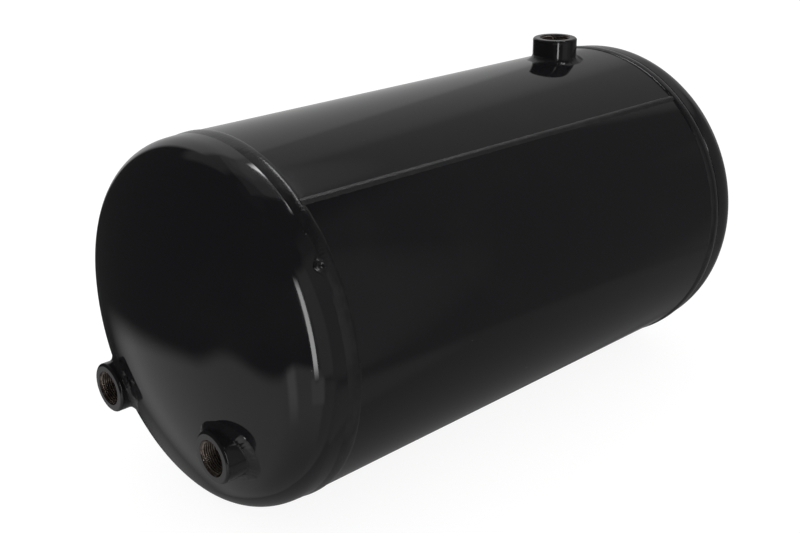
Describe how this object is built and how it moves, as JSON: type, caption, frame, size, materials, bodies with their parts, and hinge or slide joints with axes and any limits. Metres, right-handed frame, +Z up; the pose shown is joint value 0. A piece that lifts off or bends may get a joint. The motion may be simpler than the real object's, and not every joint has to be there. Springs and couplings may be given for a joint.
{
  "type": "compressed air reservoir",
  "caption": "Horizontal welded steel air reservoir with dished heads, a longitudinal seam and threaded port bosses on one head and on top of the shell, in gloss black paint.",
  "frame": {"origin": "on the tank axis, midway between the two heads, which is midway between the two strap seats", "axes": "+Y along the tank axis from the head with two ports to the plain head, +Z up through the top port, +X to the right seen from the head with two ports"},
  "size_m": [0.2482, 0.495, 0.2636],
  "materials": {
    "vessel_paint": "gloss black stoved paint on steel sheet",
    "weld_paint": "gloss black paint over rippled weld beads",
    "boss_paint": "gloss black paint outside, thin oily overspray on the bare tapped thread"
  },
  "bodies": {
    "root": {"shell": "vessel_paint", "longitudinal_seam_weld": "weld_paint", "front_head": "vessel_paint", "rear_head": "vessel_paint", "front_girth_weld": "weld_paint", "rear_girth_weld": "weld_paint", "front_left_boss": "boss_paint", "front_right_boss": "boss_paint", "top_boss": "boss_paint", "front_left_boss_weld": "weld_paint", "front_right_boss_weld": "weld_paint", "top_boss_weld": "weld_paint"}
  },
  "joints": []
}
